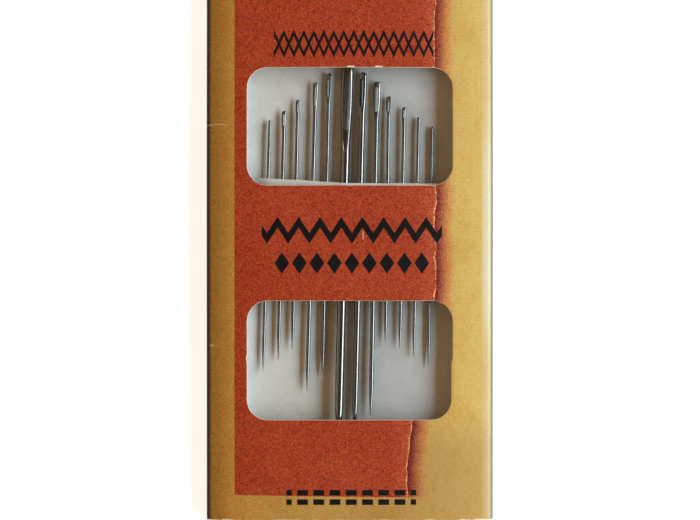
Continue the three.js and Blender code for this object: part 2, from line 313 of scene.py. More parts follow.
# Colours of the print, and its places on the front in millimetres from the front's middle
printing = {
    # The left ground colour holds painted shade as well as the print's own darker tone
    "groundLeftShaded": (0.335, 0.168, 0.029),
    "groundRight": (0.545, 0.384, 0.109),
    "stain": (0.90, 0.76, 0.55),
    "fleck": (0.97, 0.76, 0.52),
    "red": (0.316, 0.039, 0.012),
    "redDeep": (0.245, 0.027, 0.008),
    "redPale": (0.405, 0.073, 0.029),
    "lip": (0.72, 0.36, 0.16),
    "ink": (0.004, 0.003, 0.003),
    "core": (0.72, 0.68, 0.58),
    # The pale fold colour is partly rubbed-off print and partly a painted highlight
    "foldPaleAndHighlight": (0.61, 0.55, 0.36),
    # The dark fold colour is painted shade along the right fold's outer edge
    "foldPaintedShade": (0.17, 0.16, 0.11),
    "footStain": (0.82, 0.74, 0.75),
    "panelLeft": -18.55,
    "panelFoot": -40.5,
    "panelSlope": -0.012,
    "tearHigh": 13.7,
    "tearLow": 9.0,
    "tearFrom": -8,
    "tearTo": -39,
    # The left margin's painted shade and light run from marginLeft to marginRight
    "marginLeft": -22.4,
    "marginRight": -18.6,
    "marginPaintedShades": (0.78, 1.2),
    "dotScale": 6.8,
    "dotGrey": 0.5,
    "dotsOnGround": (0.55, 0.24),
    "dotsOnRed": (0.8, 2.0, 2.5),
    "creaseY": 19.2,
    "creaseFade": -20.6,
    "creaseEnd": -18.9,
    "inkSoft": 0.045,
    "lozengeShare": 0.86,
    "dashShare": 0.68,
}

# Plain stitch ornaments in ink
ornaments = [
    {"kind": "lattice", "x": 0.6, "y": 32.1, "half": 12.8, "rise": 1.75, "pitch": 3.2, "stroke": 0.42},
    {"kind": "zigzag", "x": 0.3, "y": 2.2, "half": 14.45, "rise": 1.3, "pitch": 3.4, "stroke": 0.95},
    {"kind": "lozenge", "x": 0.3, "y": -3.05, "half": 12.6, "rise": 1.75, "pitch": 2.8},
    {"kind": "dash", "x": 0.2, "y": -39.85, "half": 10.4, "rise": 0.45, "pitch": 2.6},
    {"kind": "dash", "x": 0.2, "y": -41.35, "half": 10.4, "rise": 0.45, "pitch": 2.6},
]

# x, y, half width, half height and strength of the small places where the print is rubbed off
nicks = [
    (0.1, 28.3, 0.6, 0.24, 1), (4.6, 28.3, 0.65, 0.24, 1), (2.1, 1.4, 0.14, 0.7, 0.3),
    (-22.2, -16.3, 0.35, 0.12, 0.3),
]


def ornamentMask(tree, u, v, design):
    soft = printing["inkSoft"]
    across = calc(tree, "SUBTRACT", u, design["x"])
    up = calc(tree, "SUBTRACT", v, design["y"])
    inside = ramp(tree, calc(tree, "ABSOLUTE", across), design["half"] - soft, design["half"] + soft, 1, 0)
    half = design["pitch"] / 2
    saw = calc(tree, "PINGPONG", across, half)
    if design["kind"] in ("lattice", "zigzag"):
        slope = 2 * design["rise"] / half
        wave = calc(tree, "SUBTRACT", calc(tree, "MULTIPLY", saw, slope), design["rise"])
        away = calc(tree, "ABSOLUTE", calc(tree, "SUBTRACT", up, wave))
        if design["kind"] == "lattice":
            away = calc(tree, "MINIMUM", away, calc(tree, "ABSOLUTE", calc(tree, "ADD", up, wave)))
        away = calc(tree, "DIVIDE", away, math.sqrt(1 + slope * slope))
        drawn = ramp(tree, away, design["stroke"] / 2 - soft, design["stroke"] / 2 + soft, 1, 0)
    elif design["kind"] == "lozenge":
        reach = calc(tree, "DIVIDE", saw, half * printing["lozengeShare"])
        tall = calc(tree, "DIVIDE", calc(tree, "ABSOLUTE", up), design["rise"])
        drawn = ramp(tree, calc(tree, "ADD", reach, tall), 0.94, 1.04, 1, 0)
    else:
        reach = calc(tree, "DIVIDE", saw, half * printing["dashShare"])
        tall = calc(tree, "DIVIDE", calc(tree, "ABSOLUTE", up), design["rise"])
        drawn = ramp(tree, calc(tree, "MAXIMUM", reach, tall), 0.9, 1.1, 1, 0)
    return calc(tree, "MULTIPLY", drawn, inside)


def tint(tree, colour, factor, shade):
    # Multiplies a colour by a shade, as far as the factor says
    return blendColour(tree, factor, colour, shade, "MULTIPLY")


def greyOf(tree, value):
    return put(tree, "ShaderNodeCombineColor", Red=value, Green=value, Blue=value).outputs[0]


def printedCard():
    material, tree = makeMaterial("printedCard")
    sheet = put(tree, "ShaderNodeUVMap", {"uv_map": "printMap"})
    place = sheet.outputs[0]
    parts = put(tree, "ShaderNodeSeparateXYZ", Vector=place)
    u, v = parts.outputs["X"], parts.outputs["Y"]
    # Weave and fibres that run through the whole sheet
    weaveAcross = put(
        tree, "ShaderNodeTexWave", {"bands_direction": "X"}, Vector=place, Scale=0.62, Distortion=1.6,
    )
    weaveAlong = put(
        tree, "ShaderNodeTexWave", {"bands_direction": "Y"}, Vector=place, Scale=0.55, Distortion=1.6,
    )
    weave = calc(tree, "MULTIPLY", weaveAcross.outputs[1], weaveAlong.outputs[1])
    grain = cloud(tree, place, 3.6, 2, 0.6)
    dots = put(
        tree, "ShaderNodeTexVoronoi", {"voronoi_dimensions": "2D"}, Vector=place, Scale=printing["dotScale"],
    )
    dotted = put(tree, "ShaderNodeSeparateColor", Color=dots.outputs["Color"]).outputs[0]
    mottle = cloud(tree, place, 0.55, 4, 0.6, 0.4)
    blotch = cloud(tree, place, 0.09, 3, 0.55, 0.3)
    fibres = cloud(tree, stretched(tree, place, (0.9, 3.4, 1), (0, 0, 0.35)), 1.3, 4, 0.6, 1.2)
    # Parchment ground, darker and more orange towards the left fold: partly the print's own tone, partly
    # painted shade where the front turns away from the lamp
    side = ramp(tree, u, -22, 20, smooth=False)
    ground = blendColour(tree, side, printing["groundLeftShaded"], printing["groundRight"])
    flecks = cloud(tree, stretched(tree, place, (1, 0.4, 1)), 0.8, 4, 0.65, 0.5)
    flecked = calc(tree, "MULTIPLY", ramp(tree, flecks, 0.46, 0.7), 0.5)
    ground = tint(tree, ground, flecked, printing["fleck"])
    woven = calc(tree, "MULTIPLY", ramp(tree, weave, 0.1, 0.8), 0.28)
    ground = tint(tree, ground, woven, printing["stain"])
    blotched = calc(tree, "MULTIPLY", ramp(tree, blotch, 0.45, 0.75), 0.55)
    ground = tint(tree, ground, blotched, printing["stain"])
    # Painted shade and light on the left margin: darker at the fold and brighter towards the red panel, as
    # the curved front turns away from and towards the lamp
    dim, lit = printing["marginPaintedShades"]
    margin = ramp(tree, u, printing["marginLeft"], printing["marginRight"], dim, lit, False)
    ground = tint(tree, ground, ramp(tree, u, -16, -10, 1, 0), greyOf(tree, margin))
    stained = calc(tree, "MULTIPLY", ramp(tree, u, -8, 8), ramp(tree, v, -34, -26, 1, 0))
    ground = tint(tree, ground, stained, printing["footStain"])
    # Torn red paper that is printed over it
    drift = ramp(tree, v, printing["tearTo"], printing["tearFrom"], printing["tearLow"], printing["tearHigh"])
    line = put(tree, "ShaderNodeCombineXYZ", X=7.3, Y=v)
    for size, reach in ((0.11, 1.5), (0.5, 0.7), (1.9, 0.3), (6.0, 0.1)):
        wander = calc(tree, "SUBTRACT", cloud(tree, line.outputs[0], size, 2), 0.5)
        drift = calc(tree, "ADD", drift, calc(tree, "MULTIPLY", wander, reach))
    tear = calc(tree, "SUBTRACT", u, drift)
    slope = calc(tree, "MULTIPLY", u, printing["panelSlope"])
    foot = calc(tree, "SUBTRACT", calc(tree, "SUBTRACT", v, printing["panelFoot"]), slope)
    left = calc(tree, "SUBTRACT", u, printing["panelLeft"])
    panel = calc(tree, "MULTIPLY", ramp(tree, tear, -0.04, 0.04, 1, 0), ramp(tree, left, -0.05, 0.05))
    panel = calc(tree, "MULTIPLY", panel, ramp(tree, foot, -0.06, 0.06))
    # Printed shadow beside the tear: maroon at the edge, then orange, then the bare ground
    onFront = calc(tree, "MULTIPLY", ramp(tree, tear, -0.1, 0), ramp(tree, foot, -0.3, 0.5))
    loose = calc(tree, "MULTIPLY", calc(tree, "SUBTRACT", dotted, 0.5), 0.7)
    frayed = calc(tree, "ADD", tear, loose)
    green = calc(tree, "POWER", ramp(tree, frayed, 0.2, 2.95, 0.05, 1, False), 1.25)
    fade = put(
        tree, "ShaderNodeCombineColor",
        Red=ramp(tree, frayed, 0, 2.15, 0.27, 1, False),
        Green=green,
        Blue=ramp(tree, frayed, 0, 2.85, 0.05, 1, False),
    )
    colour = tint(tree, ground, onFront, fade.outputs[0])
    mottled = calc(tree, "MULTIPLY", ramp(tree, mottle, 0.4, 0.8), 0.22)
    red = blendColour(tree, mottled, printing["red"], printing["redDeep"])
    fibrous = calc(tree, "MULTIPLY", ramp(tree, fibres, 0.5, 0.78), 0.14)
    red = blendColour(tree, fibrous, red, printing["redPale"])
    faded = calc(tree, "MULTIPLY", ramp(tree, blotch, 0.4, 0.7), 0.2)
    red = blendColour(tree, faded, red, printing["redPale"])
    red = blendColour(tree, ramp(tree, tear, -3.4, -0.2, 0, 0.55), red, printing["redPale"])
    lipWidth = ramp(tree, cloud(tree, line.outputs[0], 1.3, 3, 0.7), 0.35, 0.7, 0.03, 0.3)
    lip = ramp(tree, calc(tree, "ADD", tear, lipWidth), -0.03, 0.05)
    red = blendColour(tree, calc(tree, "MULTIPLY", lip, 0.75), red, printing["lip"])
    colour = blendColour(tree, panel, colour, red)
    # Printed dots, weaker on the ground than on the red, then ink over them
    strong = ramp(tree, u, -21, 12, *printing["dotsOnGround"], False)
    strong = blendColour(tree, panel, greyOf(tree, strong), printing["dotsOnRed"])
    offset = put(tree, "ShaderNodeVectorMath", {"operation": "SUBTRACT"})
    greyed = blendColour(tree, printing["dotGrey"], dots.outputs["Color"], greyOf(tree, dotted))
    feed(tree, offset.inputs[0], greyed)
    feed(tree, offset.inputs[1], (0.5, 0.5, 0.5))
    shift = put(tree, "ShaderNodeVectorMath", {"operation": "MULTIPLY_ADD"})
    feed(tree, shift.inputs[0], offset.outputs[0])
    feed(tree, shift.inputs[1], strong)
    feed(tree, shift.inputs[2], (1, 1, 1))
    colour = tint(tree, colour, 1, shift.outputs[0])
    ink = None
    for design in ornaments:
        mask = ornamentMask(tree, u, v, design)
        ink = mask if ink is None else calc(tree, "MAXIMUM", ink, mask)
    ink = calc(tree, "MULTIPLY", ink, ramp(tree, grain, 0.2, 0.45, 0.95, 1))
    colour = blendColour(tree, ink, colour, printing["ink"])
    # Wear and painted light: scuffs, a right fold that is rubbed pale and also painted with a highlight,
    # painted shade on both fold edges, frayed ends and a crease in the left margin
    scuffs = cloud(tree, stretched(tree, place, (0.5, 2.2, 1), (0, 0, 0.9)), 1.1, 5, 0.7)
    scuffs = ramp(tree, scuffs, 0.68, 0.76)
    # The right fold is pale in a band that widens towards the middle, where the front bulges: partly
    # rubbed-off print, partly a painted highlight
    rubbedAndHighlight = ramp(tree, calc(tree, "ABSOLUTE", calc(tree, "SUBTRACT", v, 2)), 9, 22, 1, 0.4)
    pale = calc(tree, "MULTIPLY", ramp(tree, u, 20.9, 21.8), rubbedAndHighlight)
    pale = calc(tree, "MULTIPLY", pale, ramp(tree, fibres, 0.3, 0.6, 0.75, 1))
    colour = blendColour(tree, pale, colour, printing["foldPaleAndHighlight"])
    # Painted shade along the outer edge of the right fold, where it turns under
    colour = blendColour(tree, ramp(tree, u, 22.35, 23.0), colour, printing["foldPaintedShade"])
    # Painted shade: the print darkens to almost black at the very left fold, which turns away from the lamp
    colour = tint(tree, colour, 1, greyOf(tree, ramp(tree, u, -22.9, -22.1, 0.06, 1)))
    foldLeft = ramp(tree, calc(tree, "ABSOLUTE", calc(tree, "ADD", u, 22.1)), 0.05, 0.25, 1, 0)
    wear = calc(tree, "MULTIPLY", foldLeft, ramp(tree, fibres, 0.5, 0.75, 0, 0.12))
    wear = calc(tree, "MAXIMUM", wear, calc(tree, "MULTIPLY", scuffs, 0.2))
    ends = ramp(tree, calc(tree, "ABSOLUTE", v), 44.05, 44.4, 0, 1)
    wear = calc(tree, "MAXIMUM", wear, calc(tree, "MULTIPLY", ends, ramp(tree, mottle, 0.45, 0.6)))
    wavy = calc(tree, "MULTIPLY", calc(tree, "SUBTRACT", cloud(tree, place, 0.5, 2), 0.5), 1.2)
    crease = calc(tree, "ABSOLUTE", calc(tree, "ADD", calc(tree, "SUBTRACT", v, printing["creaseY"]), wavy))
    crease = ramp(tree, crease, 0.03, 0.16, 1, 0)
    fading = ramp(tree, u, printing["creaseFade"], printing["creaseEnd"], 1, 0)
    crease = calc(tree, "MULTIPLY", crease, fading)
    wear = calc(tree, "MAXIMUM", wear, calc(tree, "MULTIPLY", crease, 0.3))
    for x, y, wide, tall, strength in nicks:
        across = calc(tree, "DIVIDE", calc(tree, "ABSOLUTE", calc(tree, "SUBTRACT", u, x)), wide)
        up = calc(tree, "DIVIDE", calc(tree, "ABSOLUTE", calc(tree, "SUBTRACT", v, y)), tall)
        away = calc(tree, "ADD", calc(tree, "MAXIMUM", across, up), calc(tree, "MULTIPLY", grain, 0.9))
        wear = calc(tree, "MAXIMUM", wear, ramp(tree, away, 1.2, 1.5, strength, 0))
    colour = blendColour(tree, wear, colour, printing["core"])
    height = calc(tree, "MULTIPLY", weave, 0.35)
    height = calc(tree, "ADD", height, calc(tree, "ADD", calc(tree, "MULTIPLY", grain, 0.5), mottle))
    height = calc(tree, "SUBTRACT", height, crease)
    rough = ramp(tree, mottle, 0.2, 0.8, 0.44, 0.58)
    finishMaterial(tree, colour, rough, height, 0.2, 0.03, {"Specular IOR Level": 0.2})
    return material


# Colours of rubbed streaks and of the bare core at a cut
bareCard = {
    "streak": (0.62, 0.60, 0.56),
    "core": (0.66, 0.60, 0.50),
    "coreBrown": (0.50, 0.43, 0.33),
    "fuzz": (0.78, 0.74, 0.66),
}


def plainCard(name, light, dark, roughness=0.62, uvName=None, streaks=(), paintedLightSide=None):
    # Uncoated card: pale fibres over a slightly darker pulp. Its left side can be brightened with a painted
    # light colour, and streaks are rubbed a little brighter
    material, tree = makeMaterial(name)
    if uvName:
        place = put(tree, "ShaderNodeUVMap", {"uv_map": uvName}).outputs[0]
    else:
        place = objectPlace(tree)
    pulp = cloud(tree, place, 0.35, 4, 0.6, 0.5)
    fibre = cloud(tree, stretched(tree, place, (1, 0.35, 1), (0, 0, 0.5)), 2.6, 4, 0.62, 1.5)
    grain = cloud(tree, place, 5.5, 3, 0.6)
    colour = blendColour(tree, ramp(tree, pulp, 0.3, 0.7), light, dark)
    colour = blendColour(tree, calc(tree, "MULTIPLY", ramp(tree, fibre, 0.55, 0.8), 0.3), colour, light)
    speckle = ramp(tree, grain, 0.25, 0.75, 0.95, 1.04, False)
    colour = tint(tree, colour, 1, greyOf(tree, speckle))
    # Painted light: the card's left side is brightened towards the rim
    if paintedLightSide:
        across = put(tree, "ShaderNodeSeparateXYZ", Vector=place).outputs["X"]
        pale = ramp(tree, across, -18, 1)
        colour = tint(tree, colour, 1, blendColour(tree, pale, paintedLightSide, (1, 1, 1)))
    for x, y, turn, half, wide in streaks:
        local = put(tree, "ShaderNodeMapping", Vector=place, Location=(-x, -y, 0))
        local = put(tree, "ShaderNodeMapping", Vector=local.outputs[0], Rotation=(0, 0, -turn))
        parts = put(tree, "ShaderNodeSeparateXYZ", Vector=local.outputs[0])
        run = ramp(tree, calc(tree, "ABSOLUTE", parts.outputs["X"]), 0.2, half, 1, 0)
        across = ramp(tree, calc(tree, "ABSOLUTE", parts.outputs["Y"]), 0.1, wide, 1, 0)
        rubbedAndHighlight = calc(tree, "MULTIPLY", run, across)
        rubbedAndHighlight = calc(tree, "MULTIPLY", rubbedAndHighlight, ramp(tree, fibre, 0.3, 0.7, 0.08, 0.2))
        colour = blendColour(tree, rubbedAndHighlight, colour, bareCard["streak"])
    height = calc(tree, "ADD", calc(tree, "MULTIPLY", grain, 0.4), fibre)
    rough = ramp(tree, pulp, 0.3, 0.7, roughness - 0.04, roughness + 0.06)
    finishMaterial(tree, colour, rough, height, 0.16, 0.02, {"Specular IOR Level": 0.4})
    return material


def cutEdge():
    # Bare core where the card was cut, with its layers
    material, tree = makeMaterial("cutEdge")
    place = objectPlace(tree)
    layers = cloud(tree, stretched(tree, place, (0.6, 0.6, 9)), 1.5, 3)
    fuzz = cloud(tree, place, 4.5, 4, 0.7)
    colour = blendColour(tree, ramp(tree, layers, 0.35, 0.7), bareCard["core"], bareCard["coreBrown"])
    frayed = calc(tree, "MULTIPLY", ramp(tree, fuzz, 0.5, 0.75), 0.5)
    colour = blendColour(tree, frayed, colour, bareCard["fuzz"])
    finishMaterial(tree, colour, 0.8, fuzz, 0.4, 0.04, {"Specular IOR Level": 0.3})
    return material


# Sleeve

sleeve = {
    "width": 46.2, "length": 88.8, "card": 0.4,
    "crown": 1.4, "crownX": -2.5, "crownPower": 3, "foldHeight": 2.58,
    "fullness": 0.45, "fullestY": 6,
    "leftFold": 0.75, "rightFold": 1.3, "backFold": 0.6, "flapFold": 0.5,
    "flapWidth": 10, "flapZ": 0.45, "freeEdgeInset": 0.25,
    "stepRun": 0.4, "nickHalf": 0.7,
    "rimBevel": 0.07, "bevelAngle": 50,
    "wave": 0.07, "waveSize": (15, 19), "rippleSize": (5, 6), "rippleShare": 0.35,
    "insideLight": (0.60, 0.58, 0.53), "insideDark": (0.52, 0.50, 0.45),
}
# How the sleeve's grid is cut: longest steps, strips beside the rims and parts of each fold
sleeveGrid = {
    "rimStrip": 0.4, "cornerRoom": 0.3,
    "across": [0.6, 0.4, 0.28, 0.7, 0.28, 0.4, 0.6],
    "along": [0.8, 0.4, 0.28, 0.7, 0.28, 0.4],
    "flap": 1.2, "back": 1.4,
    "leftFold": 7, "rightFold": 9, "backFold": 7, "flapFold": 6,
}
# The right side of a window steps in by step where y is under -stepY, and the left one bulges at nickY
windows = [
    {
        "y": 18.85, "width": 33, "height": 18.9, "radius": 3.3,
        "step": 0, "stepY": 99, "nick": 0, "nickY": 99,
    },
    {
        "y": -18.65, "width": 33, "height": 19.1, "radius": 3.3,
        "step": 0.2, "stepY": 18.7, "nick": 0.16, "nickY": -18.4,
    },
]


def fullnessAt(y):
    half = sleeve["length"] / 2
    run = half - sleeve["fullestY"] if y > sleeve["fullestY"] else half + sleeve["fullestY"]
    return (1 + math.cos(math.pi * abs(y - sleeve["fullestY"]) / run)) / 2


def frontZ(x):
    side = sleeve["width"] / 2 - (sleeve["rightFold"] if x > sleeve["crownX"] else sleeve["leftFold"])
    reach = side - sleeve["crownX"] if x > sleeve["crownX"] else side + sleeve["crownX"]
    share = min(abs(x - sleeve["crownX"]) / reach, 1)
    return sleeve["foldHeight"] + sleeve["crown"] * (1 - share ** sleeve["crownPower"])


def liftAt(z):
    low = max(sleeve["flapZ"] + sleeve["flapFold"], sleeve["backFold"])
    high = sleeve["foldHeight"] - sleeve["rightFold"]
    return min(max((z - low) / (high - low), 0), 1) * sleeve["fullness"]


def sleeveStations():
    # The section from the flap's edge, over the front, to the back panel's free edge
    half = sleeve["width"] / 2
    left = sleeve["leftFold"] - half
    right = half - sleeve["rightFold"]
    flap, back = sleeve["flapFold"], sleeve["backFold"]
    fold = sleeve["foldHeight"]
    flapRun = spread([flap - half, sleeve["flapWidth"] - half], [sleeveGrid["flap"]])
    section = [(x, sleeve["flapZ"]) for x in reversed(flapRun)][:-1]
    turn = (3 * quarter, 2 * quarter, sleeveGrid["flapFold"])
    section += arcPoints(flap - half, sleeve["flapZ"] + flap, flap, *turn)
    turn = (2 * quarter, quarter, sleeveGrid["leftFold"])
    section += arcPoints(left, fold - sleeve["leftFold"], sleeve["leftFold"], *turn)[:-1]
    before = len(section)
    rim = windows[0]["width"] / 2
    corner = windows[0]["radius"]
    strip, room = sleeveGrid["rimStrip"], sleeveGrid["cornerRoom"]
    stops = [left, -rim - strip, -rim, -rim + corner + room]
    stops += [rim - corner - room, rim, rim + strip, right]
    front = spread(stops, sleeveGrid["across"])
    section += [(x, frontZ(x)) for x in front]
    after = len(section) - 1
    turn = (quarter, 0, sleeveGrid["rightFold"])
    section += arcPoints(right, fold - sleeve["rightFold"], sleeve["rightFold"], *turn)[1:]
    section += arcPoints(half - back, back, back, 0, -quarter, sleeveGrid["backFold"])
    backRun = spread([sleeve["freeEdgeInset"] - half, half - back], [sleeveGrid["back"]])
    section += [(x, 0) for x in reversed(backRun)][1:]
    along = [0]
    for (x1, z1), (x2, z2) in zip(section, section[1:]):
        along.append(along[-1] + math.hypot(x2 - x1, z2 - z1))
    flat = []
    for i, (x, z) in enumerate(section):
        if i < before:
            flat.append(left - (along[before] - along[i]))
        elif i > after:
            flat.append(right + (along[i] - along[after]))
        else:
            flat.append(x)
    return section, flat, before, after


def rimPoint(x, y, window):
    # Nearest place on a window's rounded outline
    a, b, radius = window["width"] / 2, window["height"] / 2, window["radius"]
    if x > 0:
        a -= window["step"] * smoothStep(-y, window["stepY"], window["stepY"] + sleeve["stepRun"])
    else:
        a += window["nick"] * max(0, 1 - abs(y - window["nickY"]) / sleeve["nickHalf"])
    dx, dy = abs(x), abs(y - window["y"])
    if dx > a - radius and dy > b - radius:
        away = Vector((dx - a + radius, dy - b + radius)).normalized() * radius
        dx, dy = a - radius + away.x, b - radius + away.y
    elif a - dx < b - dy:
        dx = a
    else:
        dy = b
    return math.copysign(dx, x), window["y"] + math.copysign(dy, y - window["y"])


def insideWindow(x, y):
    for window in windows:
        dx = abs(x) - window["width"] / 2 + window["radius"]
        dy = abs(y - window["y"]) - window["height"] / 2 + window["radius"]
        if math.hypot(max(dx, 0), max(dy, 0)) < window["radius"]:
            return True
    return False


def makeSleeve():
    section, flat, before, after = sleeveStations()
    half = sleeve["length"] / 2
    stops, steps = [-half], []
    for window in reversed(windows):
        low, high = window["y"] - window["height"] / 2, window["y"] + window["height"] / 2
        corner = window["radius"] + sleeveGrid["cornerRoom"]
        strip = sleeveGrid["rimStrip"]
        stops += [low - strip, low, low + corner, high - corner, high, high + strip]
        steps += sleeveGrid["along"]
    rows = spread(stops + [half], steps + sleeveGrid["along"][:1])
    shape, spots = gridSheet(len(section), len(rows))
    flatPlace = {vert: Vector((flat[i], rows[j])) for vert, (i, j) in spots.items()}
    gone = []
    for face in shape.faces:
        columns = [spots[vert][0] for vert in face.verts]
        if min(columns) < before or max(columns) > after:
            continue
        middle = sum((flatPlace[vert] for vert in face.verts), Vector((0, 0))) / 4
        if insideWindow(middle.x, middle.y):
            gone.append(face)
    bmesh.ops.delete(shape, geom=gone, context="FACES")
    for vert in [vert for vert in shape.verts if vert.is_boundary]:
        i, j = spots[vert]
        if before < i < after and 0 < j < len(rows) - 1:
            window = min(windows, key=lambda each: abs(each["y"] - flatPlace[vert].y))
            flatPlace[vert] = Vector(rimPoint(flatPlace[vert].x, flatPlace[vert].y, window))
    for vert in shape.verts:
        i, j = spots[vert]
        u, y = flatPlace[vert]
        x, z = section[i]
        if before <= i <= after:
            x, z = u, frontZ(u)
        lift = liftAt(z) * fullnessAt(y)
        broad = noise.noise(Vector((u / sleeve["waveSize"][0], y / sleeve["waveSize"][1], 3.1)))
        fine = noise.noise(Vector((u / sleeve["rippleSize"][0], y / sleeve["rippleSize"][1], 8.2)))
        ripple = broad + sleeve["rippleShare"] * fine
        ripple *= sleeve["wave"] * min(z / 2, 1)
        vert.co = Vector((x, y, z + lift + ripple))
    layer = shape.loops.layers.uv.new("printMap")
    for face in shape.faces:
        for loop in face.loops:
            loop[layer].uv = flatPlace[loop.vert]
    materials = [
        printedCard(),
        plainCard("sleeveInside", sleeve["insideLight"], sleeve["insideDark"], uvName="printMap"),
        cutEdge(),
    ]
    piece = makePiece("sleevePrinted", shape, materials, "sleeve", ["sleeve"])
    thickness = sleeve["card"] * mm
    addModifier(piece, "SOLIDIFY", thickness=thickness, offset=-1, material_offset=1, material_offset_rim=2)
    addBevel(piece, sleeve["rimBevel"], sleeve["bevelAngle"], material=2)


makeSleeve()
print("stage: sleeve")


# Insert card

insert = {
    "width": 43.3, "length": 86.4, "thickness": 0.35, "bottom": 0.9, "corner": 1.2,
    "rise": 1.35, "riseRight": 0.25, "crestX": 19.3, "power": 18, "fall": 0.04, "even": 0.3,
    "edge": 0.04, "bevelAngle": 50,
    "flatHalf": 8, "flatStep": 4, "bowStep": 0.35, "cornerStep": 0.15,
    # The pale side colour is painted light on the card's left side
    "light": (0.39, 0.408, 0.402), "dark": (0.352, 0.367, 0.36), "paintedLightSide": (1.47, 1.40, 1.33),
}
insertTop = insert["bottom"] + insert["thickness"]
# x, y, turn in radians, half length and half width of each rubbed streak
cardStreaks = [(2.9, 18.4, -1.0, 2.4, 0.9), (7.8, 12.6, -1.1, 2.0, 0.7), (5.2, 15.4, -0.8, 1.6, 0.5)]


def insertRise(x):
    # The card is flat under the needles and bows up along both long margins, against the front
    share = abs(x) / insert["crestX"]
    rise = insert["rise"] if x < 0 else insert["riseRight"]
    if share > 1:
        return rise - insert["fall"] * (abs(x) - insert["crestX"]) ** 2
    power = insert["power"]
    steep = share ** power * (power + 1 - power * share)
    return rise * (insert["even"] * share * share + (1 - insert["even"]) * steep)


def makeInsert():
    half, tall, corner = insert["width"] / 2, insert["length"] / 2, insert["corner"]
    flat, flatStep, cornerStep = insert["flatHalf"], insert["flatStep"], insert["cornerStep"]
    margin = spread([flat, half - corner, half], [insert["bowStep"], cornerStep])
    columns = [-x for x in reversed(margin)] + spread([-flat, flat], [flatStep])[1:-1] + margin
    rows = spread([-tall, -tall + corner, tall - corner, tall], [cornerStep, flatStep, cornerStep])
    shape, spots = gridSheet(len(columns), len(rows))
    for vert, (i, j) in spots.items():
        x, y = columns[i], rows[j]
        dx, dy = abs(x) - half + corner, abs(y) - tall + corner
        if dx > 0 and dy > 0:
            # Squares the corner patch of the grid onto a quarter circle
            reach = max(dx, dy) / math.hypot(dx, dy)
            x = math.copysign(half - corner + dx * reach, x)
            y = math.copysign(tall - corner + dy * reach, y)
        vert.co = Vector((x, y, insertTop + insertRise(x)))
    material = plainCard(
        "greyCard", insert["light"], insert["dark"], streaks=cardStreaks, paintedLightSide=insert["paintedLightSide"],
    )
    piece = makePiece("insertCard", shape, [material], "card", ["insert_card"])
    addModifier(piece, "SOLIDIFY", thickness=insert["thickness"] * mm, offset=-1)
    addBevel(piece, insert["edge"], insert["bevelAngle"])


makeInsert()
print("stage: insert card")


# Needles: sizes that the strap follows as well

needles = {
    "pitch": 2.4, "longest": 56.5, "taper": 5,
    "eyeTop": 0.75, "eyeWidth": 0.5, "pressed": 0.95,
    "gutter": 0.42, "gutterWidth": 0.84, "gutterRun": 0.35,
    "lip": 0.05, "bevelAngle": 32,
    "sides": 40, "shankStep": 6, "eyeRings": 24, "ringStep": 0.09,
    "domeAngles": (12, 24, 36, 48, 60, 70, 80), "merge": 1e-4,
    "slotSides": 32, "gutterSides": (32, 24),
    "bright": (0.225, 0.205, 0.185), "dull": (0.175, 0.16, 0.145), "rough": 0.1,
    "punchedBright": (0.12, 0.11, 0.1), "punchedDull": (0.08, 0.075, 0.07), "punchedRough": 0.42,
    "speck": (0.16, 0.12, 0.08),
}
# One row for each needle, from the left:
# diameter; length and reach of the eye's end, as shares of the longest needle; head, as a share of the
# diameter; eye, as a share of the head; turn and lean; place off its pitch, as a share of the pitch;
# rest, the height of the rear ply under it; dip, the angle that lowers its eye
needleRows = [
    (0.54, 0.72, 0.349, 1.3, 2.14, 78, 0.35, -0.11, 0.19, 0),
    (0.6, 0.715, 0.377, 1.27, 2.5, 12, 0.18, -0.13, 0.17, 0),
    (0.6, 0.715, 0.409, 1.23, 2.16, 28, 0.1, -0.22, 0.17, 0),
    (0.66, 0.885, 0.46, 1.33, 3.52, 24, 0.42, -0.11, 0.18, 0),
    (0.62, 0.867, 0.487, 1.9, 2.72, 52, 0.1, -0.16, 0.11, 0),
    (1.45, 1.07, 0.53, 1.38, 5.08, 4, 0.25, 0.04, 0.04, 0.8),
    (0.98, 1.02, 0.492, 1.4, 3.35, 42, 0.2, 0.1, 0.08, 0.1),
    (0.76, 0.954, 0.466, 1.6, 3.3, 10, -0.09, 0.11, 0.12, 0.3),
    (0.58, 0.713, 0.425, 1.85, 1.68, 40, -0.42, -0.03, 0.14, 0),
    (0.6, 0.692, 0.395, 1.23, 1.76, 20, -0.13, -0.03, 0.14, 0),
    (0.55, 0.687, 0.367, 1.24, 2.2, 66, 0.02, -0.07, 0.13, 0),
    (0.52, 0.687, 0.34, 1.27, 2.12, 80, -0.31, -0.11, 0.05, 0),
]
strap = {
    "low": -8.4, "high": 9.8, "ply": 0.12, "tab": 2, "lean": 1.2,
    "wander": 0.7, "edge": [(-1, 0.95), (-0.06, 0), (1, 0.45)],
    "ragged": 0.05, "raggedSize": 1.7, "fringe": 0.02, "fringeSize": 0.3,
    "backTrim": 0.5, "glue": 0.05,
    "bond": 0.04, "under": 0.05, "over": 0.05, "taut": 0.75, "endTab": 0.7,
    "rows": 30, "tautSteps": 10, "endStep": 0.3, "backStep": 0.45,
    "sway": 0.015, "swaySize": (2.5, 4), "cutEdge": 0.02, "bevelAngle": 60,
    "light": (0.60, 0.615, 0.60), "dark": (0.54, 0.555, 0.54), "rough": 0.55,
    "backLight": (0.42, 0.42, 0.39), "backDark": (0.36, 0.36, 0.33), "backRough": 0.7,
}
middleCount = (len(needleRows) - 1) / 2
places = [(i - middleCount + row[7]) * needles["pitch"] for i, row in enumerate(needleRows)]
diameters = [row[0] for row in needleRows]
rests = [row[8] for row in needleRows]
dips = [math.radians(row[9]) for row in needleRows]
